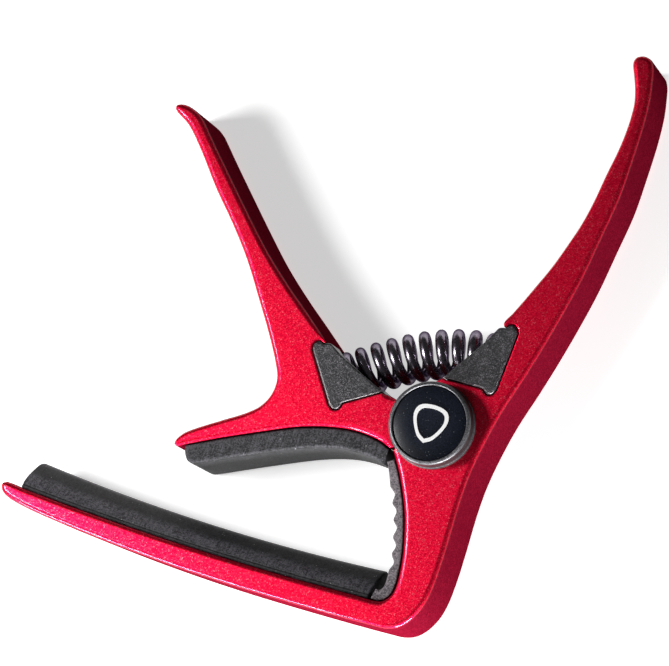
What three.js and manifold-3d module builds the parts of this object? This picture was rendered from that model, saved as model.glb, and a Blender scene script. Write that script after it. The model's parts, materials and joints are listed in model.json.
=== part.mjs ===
// Guitar capo: a spring clamp of two cast metal halves that turn on one pivot.
//
// Millimetres. +Z is up, out of the flat back that the capo rests on. X runs along the
// string arm towards the web, and Y from the string arm towards the two handles.
// Every outline is drawn from the pivot's axis, and the finished group is moved at the
// end so that its origin is the middle of the bottom of its box.

import * as THREE from 'three';
import { mergeVertices } from 'three/addons/utils/BufferGeometryUtils.js';
import Module from 'manifold-3d';

const wasm = await Module();
wasm.setup();

// ---- driving dimensions -------------------------------------------------------------

const THICKNESS = 12;            // both halves, from the back face to the front face
const GAP = 0.15;                // between pieces that lie against each other
const PAST = 1;                  // how far a cutting tool runs past the face it cuts

const CHEEK_RADIUS = 6.35;       // the fork's two cheeks, about the pivot
const TONGUE_THICKNESS = 4;
const TONGUE_RADIUS = 6.1;
const SLOT_RADIUS = 6.6;         // the space between the cheeks
const SLOT_WIDTH = 5.4;
const LEVER_BORE_RADIUS = 6.75;  // the lever's front and back stop short of the cheeks

const SCREW_RADIUS = 2.2;
const SCREW_HEAD_RADIUS = 3.8;
const SCREW_HEAD_THICKNESS = 1.3;
const SCREW_HEAD_DEPTH = 0.3;    // the head's top, below the front face
const SOCKET_RADIUS = 1.9;
const SOCKET_DEPTH = 0.9;
const NUT_ACROSS_FLATS = 7;
const NUT_THICKNESS = 1.9;
const NUT_RECESS = 0.25;         // the nut's face stays this far inside the back
const BUSH_WALL = 0.7;
const RUNNING = 0.06;            // radial play on the screw
const WASHER_THICKNESS = 0.4;
const WASHER_RADIUS = 5.1;
const BUSH_PLAY = 0.05;          // the bush's ends, inside the tongue's faces

const CAP_PLAY = 0.1;            // around the cap, its disc and its plug
const CAP_RADIUS = 6.55;
const CAP_HEIGHT = 2.9;
const CAP_STEP_RADIUS = 6.4;
const CAP_STEP_HEIGHT = 0.55;
const CAP_CREST_RADIUS = 5.98;
const CAP_CREST_ROUND = 0.6;     // how far below its crest the outside starts to turn in
const CAP_LIP = 0.2;             // width of the bevel inside the crest
const CAP_LIP_DEPTH = 0.4;
const CAP_FLOOR = 0.6;           // thickness under the disc
const CAP_DISC_RADIUS = 5.62;
const CAP_DISC_THICKNESS = 0.8;
const CAP_RECESS = 0.35;         // the disc lies this far below the ring's crest
const EMBLEM_THICKNESS = 0.12;
const EMBLEM_REACH = 3.1;        // from the emblem's middle to its point
const EMBLEM_LINE = 0.62;
const EMBLEM_LIFT = 0.03;        // clear of the disc

const ARM_LOW = new THREE.Vector2(-28, -28.05);   // lowest point of the string arm's top
const ARM_CURVE_RADIUS = 540;                     // follows a slightly arched fingerboard
const STRING_PAD_LEFT = -60.4;
const STRING_PAD_RIGHT = -1.55;
const STRING_PAD_HEIGHT = 4.45;  // at mid-length
const STRING_PAD_END_RISE = 0.1; // how much taller, as a fraction, the ends are
const STRING_PAD_SLICES = 24;
const PAD_INSET = 0.4;           // pads stop short of the front and back faces

const LINER_THICKNESS = 1.72;
const LINER_TOP_THICKNESS = 1.3;
const LINER_GROOVE = 0.52;
const LINER_RIDGE_PITCH = 2.7;
const LINER_RIDGES = 5;
const LINER_FIRST_RIDGE = 3.9;   // along the web from the liner's top end
const LINER_TO_STRING_PAD = 0.3; // between the liner's foot and the string pad's end

const SEAT_PROUD = 0.3;          // the spring seats stand this far out of the front face
const SEAT_BACK_INSET = 0.3;
const SEAT_FLANGE = 1.4;         // depth of the flange that the spring pushes on
const SEAT_POCKET_RADIUS = 4.3;
const SEAT_POCKET_RISE = 0.3;    // the pocket's middle, above the middle of the flange
const SEAT_POCKET_DEPTH = 10;    // longer than the seat, so the pocket is open at its end

const SPRING_RADIUS = 3.0;       // the wire's centreline
const WIRE_RADIUS = 0.85;
const SPRING_TURNS = 10.5;
const FIRST_CREST = 0.5;         // turns before the wire first reaches its outermost side
const CLOSED_TURNS = 0.9;        // at each end
const CLOSED_PITCH = 1.85;
const WIRE_SIDES = 8;
const STEPS_PER_TURN = 14;
const SPRING_START = new THREE.Vector2(-18.06, 3.38);
const SPRING_START_PULL = new THREE.Vector2(-8.75, 10.15);
const SPRING_END_PULL = new THREE.Vector2(-2.0, 13.35);
const SPRING_END = new THREE.Vector2(5.88, 12.95);

const ROUND_SEGMENTS = 48;
const SMALL_SEGMENTS = 32;

// ---- colours ------------------------------------------------------------------------

const CRIMSON = 0xc4103a;
const RUBBER = 0x4a4a4e;
const SEAT_PLASTIC = 0x55565a;
const SPRING_STEEL = 0x9a94a0;
const PLATED_STEEL = 0xb4b6ba;
const BRONZE = 0xa9814a;
const CAP_GREY = 0x7d7f84;
const CAP_BLACK = 0x1d2126;
const EMBLEM_SILVER = 0xd8dade;

// ---- small tools --------------------------------------------------------------------

const at = (x, y) => new THREE.Vector2(x, y);
const polar = (radius, degrees) => at(
  radius * Math.cos(THREE.MathUtils.degToRad(degrees)),
  radius * Math.sin(THREE.MathUtils.degToRad(degrees)),
);

// A smooth run through a few points, with the same number of steps between each two.
function through(points, steps = 4) {
  const curve = new THREE.CatmullRomCurve3(points.map((p) => new THREE.Vector3(p.x, p.y, 0)));
  curve.curveType = 'centripetal';
  return curve.getPoints(steps * (points.length - 1)).map((p) => at(p.x, p.y));
}

function arc(radius, fromDegrees, toDegrees, steps) {
  const points = [];
  for (let i = 0; i <= steps; i += 1) {
    points.push(polar(radius, THREE.MathUtils.lerp(fromDegrees, toDegrees, i / steps)));
  }
  return points;
}

// The outline moved along its own sideways direction: out for a counter-clockwise one.
function grown(outline, distance) {
  return outline.map((point, i) => {
    const before = outline[(i + outline.length - 1) % outline.length];
    const after = outline[(i + 1) % outline.length];
    const along = after.clone().sub(before).normalize();
    return at(point.x + along.y * distance, point.y - along.x * distance);
  });
}

function solid(geometry) {
  geometry.deleteAttribute('normal');
  geometry.deleteAttribute('uv');
  const merged = mergeVertices(geometry);
  return new wasm.Manifold(new wasm.Mesh({
    numProp: 3,
    vertProperties: merged.attributes.position.array,
    triVerts: new Uint32Array(merged.index.array),
  }));
}

function geometryOf(manifold) {
  const mesh = manifold.getMesh();
  const geometry = new THREE.BufferGeometry();
  geometry.setAttribute('position', new THREE.BufferAttribute(mesh.vertProperties, 3));
  geometry.setIndex(new THREE.BufferAttribute(mesh.triVerts, 1));
  return geometry;
}

// A flat plate of the given outline between two heights.
function plateGeometry(outline, bottom, top, holes = []) {
  const shape = new THREE.Shape(outline);
  holes.forEach((hole) => shape.holes.push(new THREE.Path(hole)));
  const geometry = new THREE.ExtrudeGeometry(shape, { depth: top - bottom, bevelEnabled: false });
  return geometry.translate(0, 0, bottom);
}

const plate = (outline, bottom, top) => solid(plateGeometry(outline, bottom, top));

function cylinder(radius, bottom, top, segments = SMALL_SEGMENTS) {
  const geometry = new THREE.CylinderGeometry(radius, radius, top - bottom, segments);
  return solid(geometry.rotateX(Math.PI / 2).translate(0, 0, (top + bottom) / 2));
}

// A turned piece about the pivot: the profile is a closed loop of (radius, height).
function turned(profile, segments = ROUND_SEGMENTS) {
  const geometry = new THREE.LatheGeometry(profile, segments);
  return geometry.rotateX(Math.PI / 2);
}

function piece(name, geometry, color, roughness, metalness) {
  const material = new THREE.MeshStandardMaterial({ color, roughness, metalness });
  const mesh = new THREE.Mesh(geometry, material);
  mesh.name = name;
  return mesh;
}

// ---- spring seats: one moulding, used left- and right-handed ------------------------

// Along the flange (towards the handles) and away from it (towards the spring).
const SEAT_OUTLINE = [
  at(-4.5, 0), at(4.5, 0),
  ...through([at(5.15, 0.3), at(5.45, 0.95), at(5.25, 1.55), at(4.75, 1.85)]),
  ...through([at(4.7, 2.35), at(4.45, 2.95), at(4.0, 3.2)], 3),
  at(1.85, 4.15), at(-5.0, 8.1), at(-5.3, 8.3), at(-5.4, 8.05), at(-5.0, 3.2), at(-4.9, 2.0),
  ...through([at(-5.3, 1.6), at(-5.55, 0.95), at(-5.25, 0.3)]),
];
const LEFT_SEAT = { middle: at(-19.38, 2.32), facing: 35.6, side: 1 };
const RIGHT_SEAT = { middle: at(7.69, 12.35), facing: 176.8, side: -1 };

function seatPoint(seat, point) {
  const away = polar(1, seat.facing);
  const along = at(-away.y, away.x).multiplyScalar(seat.side);
  return seat.middle.clone().addScaledVector(along, point.x).addScaledVector(away, point.y);
}

function seatOutline(seat) {
  const outline = SEAT_OUTLINE.map((point) => seatPoint(seat, point));
  return THREE.ShapeUtils.isClockWise(outline) ? outline.reverse() : outline;
}

const seatPocketCut = (seat) => plate(grown(seatOutline(seat), GAP), -PAST, THICKNESS + PAST);

function springSeat(seat) {
  const block = plate(seatOutline(seat), SEAT_BACK_INSET, THICKNESS + SEAT_PROUD);
  const pocket = new THREE.CylinderGeometry(
    SEAT_POCKET_RADIUS, SEAT_POCKET_RADIUS, SEAT_POCKET_DEPTH, SMALL_SEGMENTS,
  );
  const middle = seatPoint(seat, at(SEAT_POCKET_RISE, SEAT_FLANGE + SEAT_POCKET_DEPTH / 2));
  pocket.rotateZ(THREE.MathUtils.degToRad(seat.facing) - Math.PI / 2);
  pocket.translate(middle.x, middle.y, THICKNESS / 2);
  return geometryOf(block.subtract(solid(pocket)));
}

// ---- body: right handle, fork, web and string arm in one casting --------------------

const armTop = (x) => ARM_LOW.y + (x - ARM_LOW.x) ** 2 / (2 * ARM_CURVE_RADIUS);
const onArm = (x) => at(x, armTop(x));

const ARM_UNDERSIDE = [
  at(-62.9, -26.85), at(-63.5, -27.3), at(-63.45, -28.15), at(-62.4, -29.0),
  at(-57.9, -29.95), at(-47.6, -30.85), at(-37.6, -31.45), at(-25.0, -31.75),
  at(-11.0, -31.55), at(0.2, -31.15),
];
const OUTER_CORNER = [
  at(2.6, -30.95), at(4.3, -30.25), at(5.7, -28.85), at(6.8, -26.8), at(7.4, -24.4),
];
const BACK_OF_WEB = [
  at(7.65, -20.5), at(7.6, -15.5), at(7.45, -10.0), at(7.6, -5.5), at(8.2, -0.9),
  at(9.3, 4.6), at(10.95, 10.4), at(12.5, 16.4),
];
const BACK_OF_HANDLE = [
  at(13.85, 22.4), at(14.85, 27.6), at(15.75, 34.5), at(16.5, 40.6), at(16.65, 46.5),
  at(16.62, 52.5), at(16.3, 56.6), at(15.75, 59.5),
];
const HANDLE_TIP = [
  at(15.3, 61.2), at(14.65, 62.25), at(13.4, 62.65), at(12.25, 62.2), at(11.95, 61.3),
];
const INSIDE_OF_HANDLE = [
  at(12.75, 59.2), at(13.5, 57.3), at(14.05, 55.1), at(14.2, 51.8), at(13.95, 47.9),
  at(13.3, 43.6), at(12.75, 39.3), at(12.05, 35.6), at(11.0, 32.0), at(9.75, 28.2),
  at(8.3, 24.7), at(6.15, 19.8), at(5.5, 18.5), at(5.35, 17.8), at(5.75, 17.2),
];
const UNDER_THE_SEAT = [at(4.4, 14.6), at(-0.3, 7.9)];
const CHEEK_TOP = [at(-1.25, 7.2), at(-1.85, 6.6)];
const STOP_LUG = [at(-4.75, -4.75), at(-4.95, -5.15)];
const WEB_EDGE = [
  at(-4.75, -5.6), at(-3.0, -8.3), at(-1.55, -11.0), at(-0.15, -14.2), at(0.7, -16.9),
  at(1.4, -19.6), at(1.82, -22.4), at(1.95, -24.4), at(1.65, -25.9), at(0.5, -27.2),
  at(-0.9, -27.45),
];

function bodyOutline() {
  const armTopRun = [];
  for (let x = -4; x >= -60; x -= 4) {
    armTopRun.push(onArm(x));
  }
  return [
    ...through([
      ...ARM_UNDERSIDE, ...OUTER_CORNER, ...BACK_OF_WEB, ...BACK_OF_HANDLE, ...HANDLE_TIP,
      ...INSIDE_OF_HANDLE,
    ]),
    ...UNDER_THE_SEAT,
    ...CHEEK_TOP,
    ...arc(CHEEK_RADIUS, 108, 223, 24),
    ...STOP_LUG,
    ...through(WEB_EDGE, 3),
    ...armTopRun,
    at(-61.6, -26.9),
  ];
}

function nutOutline(clearance) {
  const corner = (NUT_ACROSS_FLATS / 2 + clearance) / Math.cos(Math.PI / 6);
  return arc(corner, 0, 300, 5);
}

const SCREW_HEAD_TOP = THICKNESS - SCREW_HEAD_DEPTH;
const SCREW_HEAD_BOTTOM = SCREW_HEAD_TOP - SCREW_HEAD_THICKNESS;
const NUT_TOP = NUT_RECESS + NUT_THICKNESS;

function body() {
  const slotBottom = (THICKNESS - SLOT_WIDTH) / 2;
  return geometryOf(
    plate(bodyOutline(), 0, THICKNESS)
      .subtract(seatPocketCut(RIGHT_SEAT))
      .subtract(cylinder(SLOT_RADIUS, slotBottom, slotBottom + SLOT_WIDTH, ROUND_SEGMENTS))
      .subtract(cylinder(SCREW_RADIUS + RUNNING, -PAST, THICKNESS + PAST))
      .subtract(cylinder(SCREW_HEAD_RADIUS + GAP, SCREW_HEAD_BOTTOM - GAP, THICKNESS + PAST))
      .subtract(plate(nutOutline(GAP), -PAST, NUT_TOP + GAP)),
  );
}

// ---- lever: left handle, neck arm and the tongue between the cheeks -----------------

const LEVER_TIP = [
  at(-51.0, 35.7), at(-52.2, 36.55), at(-53.8, 37.2), at(-55.25, 37.3), at(-56.05, 36.85),
  at(-56.0, 36.2),
];
const LEVER_OUTSIDE = [
  at(-53.25, 34.45), at(-49.8, 30.95), at(-45.6, 26.05), at(-41.05, 21.3), at(-36.9, 16.5),
  at(-33.1, 11.25), at(-29.85, 6.65), at(-27.15, 2.35), at(-26.2, 0.2), at(-26.25, -2.15),
  at(-27.3, -4.35), at(-29.2, -6.05), at(-32.4, -8.1), at(-36.5, -10.75), at(-37.85, -11.85),
  at(-38.6, -13.1), at(-38.5, -13.85), at(-37.9, -14.05),
];
const NECK_ARM_UNDERSIDE = [
  at(-36.8, -13.35), at(-31.3, -10.65), at(-26.1, -8.3), at(-20.9, -6.05), at(-16.85, -4.8),
  at(-12.65, -4.05), at(-9.7, -4.05), at(-7.4, -4.4), at(-5.6, -4.95),
];
const TONGUE_ROOT = [at(-2, -3), at(-2, 3)];      // inside the bore, where the tongue fills in
const LEVER_TOP = [at(-7.0, 2.3), at(-8.1, 2.6), at(-9.1, 2.6)];
const UNDER_LEVER_SEAT = [at(-9.9, 2.75), at(-18.9, 6.3)];
const LEVER_INSIDE = [
  at(-19.9, 7.15), at(-20.3, 7.6), at(-24.2, 10.75), at(-28.7, 14.15), at(-33.9, 18.45),
  at(-38.6, 23.0), at(-43.5, 27.95), at(-47.9, 32.45), at(-49.7, 34.35),
];

function leverOutline() {
  return [
    ...through([...LEVER_TIP, ...LEVER_OUTSIDE]),
    ...through(NECK_ARM_UNDERSIDE),
    ...TONGUE_ROOT,
    ...through(LEVER_TOP, 2),
    ...UNDER_LEVER_SEAT,
    ...through(LEVER_INSIDE),
  ];
}

const TONGUE_BOTTOM = (THICKNESS - TONGUE_THICKNESS) / 2;
const TONGUE_TOP = TONGUE_BOTTOM + TONGUE_THICKNESS;
const BUSH_RADIUS = SCREW_RADIUS + RUNNING + BUSH_WALL;

function lever() {
  const outline = leverOutline();
  const arms = plate(outline, 0, THICKNESS)
    .subtract(cylinder(LEVER_BORE_RADIUS, -PAST, THICKNESS + PAST, ROUND_SEGMENTS));
  const tongue = plate(outline, TONGUE_BOTTOM, TONGUE_TOP)
    .add(cylinder(TONGUE_RADIUS, TONGUE_BOTTOM, TONGUE_TOP, ROUND_SEGMENTS));
  return geometryOf(
    arms.add(tongue)
      .subtract(seatPocketCut(LEFT_SEAT))
      .subtract(cylinder(BUSH_RADIUS + RUNNING, -PAST, THICKNESS + PAST)),
  );
}

// ---- pivot: screw, nut, bush and washers --------------------------------------------

function pivotScrew() {
  const head = [
    at(0, SCREW_HEAD_TOP - SOCKET_DEPTH), at(SOCKET_RADIUS, SCREW_HEAD_TOP - SOCKET_DEPTH),
    at(SOCKET_RADIUS, SCREW_HEAD_TOP), at(SCREW_HEAD_RADIUS, SCREW_HEAD_TOP),
    at(SCREW_HEAD_RADIUS, SCREW_HEAD_BOTTOM), at(SCREW_RADIUS, SCREW_HEAD_BOTTOM),
    at(SCREW_RADIUS, NUT_RECESS), at(0, NUT_RECESS),
  ];
  return turned(head.reverse(), SMALL_SEGMENTS);
}

function pivotNut() {
  const threadHole = arc(SCREW_RADIUS + RUNNING, 0, -360 + 360 / SMALL_SEGMENTS, SMALL_SEGMENTS - 1);
  return plateGeometry(nutOutline(0), NUT_RECESS, NUT_TOP, [threadHole]);
}

function ring(innerRadius, outerRadius, bottom, top) {
  return turned([
    at(innerRadius, bottom), at(outerRadius, bottom), at(outerRadius, top),
    at(innerRadius, top), at(innerRadius, bottom),
  ], SMALL_SEGMENTS);
}

function washer(bottom) {
  return ring(SCREW_RADIUS + RUNNING, WASHER_RADIUS, bottom, bottom + WASHER_THICKNESS);
}

// ---- cap over the pivot -------------------------------------------------------------

const CAP_BOTTOM = THICKNESS + CAP_PLAY;
const CAP_CREST = CAP_BOTTOM + CAP_HEIGHT;
const DISC_TOP = CAP_CREST - CAP_RECESS;
const DISC_BOTTOM = DISC_TOP - CAP_DISC_THICKNESS;

function capRing() {
  const floorTop = DISC_BOTTOM - CAP_PLAY;
  const floorBottom = floorTop - CAP_FLOOR;
  const wall = CAP_DISC_RADIUS + CAP_PLAY;
  const stepTop = CAP_BOTTOM + CAP_STEP_HEIGHT;
  const plugBottom = SCREW_HEAD_TOP - SOCKET_DEPTH + 2 * CAP_PLAY;
  const plug = SOCKET_RADIUS - 2 * CAP_PLAY;
  return turned([
    at(0, plugBottom), at(plug, plugBottom), at(plug, floorBottom), at(wall, floorBottom),
    at(wall, CAP_BOTTOM), at(CAP_RADIUS, CAP_BOTTOM), at(CAP_RADIUS, stepTop),
    at(CAP_STEP_RADIUS, stepTop), at(CAP_STEP_RADIUS, CAP_CREST - CAP_CREST_ROUND),
    at(CAP_STEP_RADIUS - 0.15, CAP_CREST - 0.18), at(CAP_CREST_RADIUS, CAP_CREST),
    at(wall + CAP_LIP, CAP_CREST - 0.1), at(wall, CAP_CREST - CAP_LIP_DEPTH),
    at(wall, floorTop), at(0, floorTop),
  ]);
}

function capDisc() {
  return turned([
    at(0, DISC_BOTTOM), at(CAP_DISC_RADIUS, DISC_BOTTOM), at(CAP_DISC_RADIUS, DISC_TOP), at(0, DISC_TOP),
  ]);
}

// A plectrum drawn as a line: a rounded triangle with its point down.
function plectrum(reach) {
  return through([
    at(0, -reach), at(0.42 * reach, -0.72 * reach), at(0.88 * reach, 0.25 * reach),
    at(0.72 * reach, 0.72 * reach), at(0, 0.9 * reach), at(-0.72 * reach, 0.72 * reach),
    at(-0.88 * reach, 0.25 * reach), at(-0.42 * reach, -0.72 * reach), at(0, -reach),
  ], 5).slice(0, -1);
}

function capEmblem() {
  const inside = plectrum(EMBLEM_REACH - EMBLEM_LINE).reverse();
  const bottom = DISC_TOP + EMBLEM_LIFT;
  return plateGeometry(plectrum(EMBLEM_REACH), bottom, bottom + EMBLEM_THICKNESS, [inside]);
}

// ---- spring -------------------------------------------------------------------------

class BentSpring extends THREE.Curve {
  constructor() {
    super();
    this.centreline = new THREE.CubicBezierCurve(
      SPRING_START, SPRING_START_PULL, SPRING_END_PULL, SPRING_END,
    );
    this.length = this.centreline.getLength();
    const closedLength = CLOSED_TURNS * CLOSED_PITCH;
    const usedLength = this.length - 2 * WIRE_RADIUS;
    this.openPitch = (usedLength - 2 * closedLength) / (SPRING_TURNS - 2 * CLOSED_TURNS);
  }

  // Distance along the centreline after so many turns.
  reach(turns) {
    const first = Math.min(turns, CLOSED_TURNS);
    const last = Math.max(turns - (SPRING_TURNS - CLOSED_TURNS), 0);
    const open = turns - first - last;
    return WIRE_RADIUS + (first + last) * CLOSED_PITCH + open * this.openPitch;
  }

  getPoint(t, target = new THREE.Vector3()) {
    const turns = t * SPRING_TURNS;
    const u = this.reach(turns) / this.length;
    const middle = this.centreline.getPointAt(u);
    const tangent = this.centreline.getTangentAt(u);
    const angle = 2 * Math.PI * (turns - FIRST_CREST);
    const outward = SPRING_RADIUS * Math.cos(angle);
    return target.set(
      middle.x - tangent.y * outward,
      middle.y + tangent.x * outward,
      THICKNESS / 2 + SPRING_RADIUS * Math.sin(angle),
    );
  }
}

function spring() {
  const wire = new THREE.Shape(arc(WIRE_RADIUS, 0, 360 - 360 / WIRE_SIDES, WIRE_SIDES - 1));
  return new THREE.ExtrudeGeometry(wire, {
    steps: SPRING_TURNS * STEPS_PER_TURN, bevelEnabled: false, extrudePath: new BentSpring(),
  });
}

// ---- rubber parts -------------------------------------------------------------------

// Half of the string pad's section: distance from mid-depth, and height as a fraction.
const STRING_PAD_FLANK = [
  at(5.6, 0.1), at(5.35, 0.23), at(4.4, 0.46), at(2.9, 0.71), at(1.4, 0.92), at(0, 1),
];

// A ridged strip that follows the string arm's curved top, a little taller at its ends.
function stringPad() {
  const halfWidth = THICKNESS / 2 - PAD_INSET;
  const flank = through(STRING_PAD_FLANK, 2);
  const otherFlank = flank.slice(0, -1).map((point) => at(-point.x, point.y)).reverse();
  const profile = [at(-halfWidth, 0), at(halfWidth, 0), ...flank, ...otherFlank];
  const geometry = new THREE.ExtrudeGeometry(new THREE.Shape(profile), {
    depth: STRING_PAD_RIGHT - STRING_PAD_LEFT, steps: STRING_PAD_SLICES, bevelEnabled: false,
  });
  geometry.rotateY(Math.PI / 2).translate(STRING_PAD_LEFT, 0, THICKNESS / 2);
  const middle = (STRING_PAD_LEFT + STRING_PAD_RIGHT) / 2;
  const halfLength = (STRING_PAD_RIGHT - STRING_PAD_LEFT) / 2;
  const position = geometry.attributes.position;
  for (let i = 0; i < position.count; i += 1) {
    const x = position.getX(i);
    const height = STRING_PAD_HEIGHT * (1 + STRING_PAD_END_RISE * ((x - middle) / halfLength) ** 2);
    position.setY(i, armTop(x) + GAP + height * position.getY(i));
  }
  return geometry;
}

function neckPad() {
  const underside = [
    at(-5.9, -7.55), at(-7.4, -7.2), at(-10.2, -7.0), at(-13.1, -7.2), at(-16.5, -8.0),
    at(-19.9, -9.2), at(-25.1, -11.45), at(-30.3, -13.8), at(-34.0, -15.5),
  ].reverse();
  const leftEnd = [at(-36.9, -13.85), at(-36.6, -14.7), at(-35.9, -15.6), at(-35.0, -15.85)];
  const top = NECK_ARM_UNDERSIDE.slice(0, -1).map((point) => at(point.x, point.y - GAP));
  const rightEnd = [at(-5.75, -7.3), at(-5.8, -5.2)];
  const outline = [
    ...through([...leftEnd, ...underside], 3),
    ...rightEnd,
    ...through(top.reverse(), 3),
  ];
  return plateGeometry(outline, PAD_INSET, THICKNESS - PAD_INSET);
}

const LINER_TOP = at(-4.3, -6.3);

// A strip along the web and round the corner on to the arm, with ridges on its open side.
function webLiner() {
  const foot = onArm(STRING_PAD_RIGHT + LINER_TO_STRING_PAD);
  const edge = through([LINER_TOP, ...WEB_EDGE.slice(1), foot], 10);
  const back = [];
  const open = [];
  let along = 0;
  edge.forEach((point, i) => {
    const before = edge[Math.max(i - 1, 0)];
    const after = edge[Math.min(i + 1, edge.length - 1)];
    along += point.distanceTo(before);
    const tangent = after.clone().sub(before).normalize();
    const away = at(tangent.y, -tangent.x);
    back.push(point.clone().addScaledVector(away, GAP));
    open.push(point.clone().addScaledVector(away, linerThickness(along)));
  });
  return plateGeometry([...back.reverse(), ...open], PAD_INSET, THICKNESS - PAD_INSET);
}

function linerThickness(along) {
  const firstGroove = LINER_FIRST_RIDGE - LINER_RIDGE_PITCH / 2;
  const turns = (along - firstGroove) / LINER_RIDGE_PITCH;
  if (turns > 0.5 && turns < LINER_RIDGES + 0.5) {
    return LINER_THICKNESS - LINER_GROOVE * (0.5 + 0.5 * Math.cos(2 * Math.PI * turns));
  }
  const fade = Math.min(along / LINER_FIRST_RIDGE, 1);
  return THREE.MathUtils.lerp(LINER_TOP_THICKNESS, LINER_THICKNESS, fade);
}

// ---- assembly -----------------------------------------------------------------------

const bushBottom = TONGUE_BOTTOM + BUSH_PLAY;
const bushTop = TONGUE_TOP - BUSH_PLAY;
const washerClear = (SLOT_WIDTH - TONGUE_THICKNESS - 2 * WASHER_THICKNESS) / 4;

const assembly = new THREE.Group();
assembly.add(
  piece('body', body(), CRIMSON, 0.35, 0.6),
  piece('lever', lever(), CRIMSON, 0.35, 0.6),
  piece('pivot_screw', pivotScrew(), PLATED_STEEL, 0.3, 1),
  piece('pivot_nut', pivotNut(), PLATED_STEEL, 0.35, 1),
  piece('pivot_bush', ring(SCREW_RADIUS + RUNNING, BUSH_RADIUS, bushBottom, bushTop), BRONZE, 0.4, 1),
  piece('back_washer', washer(TONGUE_BOTTOM - washerClear - WASHER_THICKNESS), PLATED_STEEL, 0.4, 1),
  piece('front_washer', washer(TONGUE_TOP + washerClear), PLATED_STEEL, 0.4, 1),
  piece('cap_ring', capRing(), CAP_GREY, 0.35, 0.7),
  piece('cap_disc', capDisc(), CAP_BLACK, 0.25, 0),
  piece('cap_emblem', capEmblem(), EMBLEM_SILVER, 0.4, 0.2),
  piece('lever_spring_seat', springSeat(LEFT_SEAT), SEAT_PLASTIC, 0.6, 0),
  piece('body_spring_seat', springSeat(RIGHT_SEAT), SEAT_PLASTIC, 0.6, 0),
  piece('spring', spring(), SPRING_STEEL, 0.15, 1),
  piece('string_pad', stringPad(), RUBBER, 0.8, 0),
  piece('neck_pad', neckPad(), RUBBER, 0.8, 0),
  piece('web_liner', webLiner(), RUBBER, 0.8, 0),
);

const box = new THREE.Box3().setFromObject(assembly);
const centre = box.getCenter(new THREE.Vector3());
assembly.position.set(-centre.x, -centre.y, -box.min.z);

const capo = new THREE.Group();
capo.add(assembly);

export default capo;
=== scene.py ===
# Guitar capo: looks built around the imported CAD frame. Metres, +Z out of the capo's front face.

import json
import math

import bmesh
import bpy
import numpy as np
from mathutils import Matrix, Vector
from mathutils.geometry import delaunay_2d_cdt


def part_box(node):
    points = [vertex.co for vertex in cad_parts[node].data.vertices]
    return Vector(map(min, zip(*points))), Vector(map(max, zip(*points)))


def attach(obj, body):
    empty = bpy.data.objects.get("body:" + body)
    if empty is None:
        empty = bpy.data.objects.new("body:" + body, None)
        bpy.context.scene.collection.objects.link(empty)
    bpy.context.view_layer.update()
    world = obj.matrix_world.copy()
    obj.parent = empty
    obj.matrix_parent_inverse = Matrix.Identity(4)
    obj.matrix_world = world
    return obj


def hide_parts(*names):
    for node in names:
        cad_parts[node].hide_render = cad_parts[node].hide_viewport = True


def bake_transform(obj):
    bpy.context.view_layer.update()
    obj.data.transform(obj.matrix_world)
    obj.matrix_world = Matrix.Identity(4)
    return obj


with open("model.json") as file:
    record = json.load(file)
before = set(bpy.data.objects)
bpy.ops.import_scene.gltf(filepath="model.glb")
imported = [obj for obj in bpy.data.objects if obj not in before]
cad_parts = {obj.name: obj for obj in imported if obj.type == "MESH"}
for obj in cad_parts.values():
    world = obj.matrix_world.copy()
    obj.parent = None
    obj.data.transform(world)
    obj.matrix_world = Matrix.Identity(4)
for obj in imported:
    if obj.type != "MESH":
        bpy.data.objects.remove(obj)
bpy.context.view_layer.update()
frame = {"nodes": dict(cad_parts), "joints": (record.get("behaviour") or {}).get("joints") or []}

MM = 0.001

# ---- places read from the frame ------------------------------------------------------

PIVOT = Vector(frame["joints"][0]["pos_m"])
AXIS = Vector((PIVOT.x, PIVOT.y))
BODY_LOW, BODY_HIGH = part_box("body")
BACK = BODY_LOW.z
FRONT = BODY_HIGH.z
MIDDLE = (BACK + FRONT) / 2

# ---- driving dimensions --------------------------------------------------------------

METAL_ROUND = 0.8 * MM         # along the open edges of both castings
POCKET_ROUND = 0.25 * MM       # where a seat or a pad lies against the metal
CHEEK_ROUND = 0.15 * MM        # round the pivot, under the cap
CHEEK_REACH = 7.1 * MM         # how far from the pivot that rounding goes
SEAT_ROUND = 0.32 * MM
PAD_ROUND = 0.5 * MM
LINER_ROUND = 0.22 * MM
EDGE_BAND = 0.06 * MM          # a narrow flat ring beside each rounding, to keep the shading flat

SLOT_RADIUS = 6.6 * MM         # the space between the fork's cheeks
SLOT_HALF_WIDTH = 2.7 * MM
SCREW_BORE = 2.3 * MM          # radius of the hole through the cheeks
BUSH_BORE = 3.02 * MM          # radius of the hole through the tongue
TONGUE_HALF = 2 * MM           # half the thickness of the tongue
TONGUE_OVERLAP = 1.01          # the tongue's outline, a little larger so that it joins the lever
NUT_RECESS = 1.045             # the recess, as a multiple of the nut
NUT_PLAY = 0.1 * MM            # above the nut
PAST = MM                      # how far a cutting tool runs past the face it cuts

# Millimetres from the pivot, and degrees, for the seats that the spring pushes against.
LEFT_SEAT = Vector((-19.38, 2.32))
LEFT_SEAT_FACING = 35.6
RIGHT_SEAT = Vector((7.69, 12.35))
RIGHT_SEAT_FACING = 176.8
SEAT_FLANGE = 1.4
SEAT_POCKET_RISE = 0.3
SEAT_POCKET_RADIUS = 4.3 * MM
SEAT_POCKET_DEPTH = 12 * MM

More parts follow.
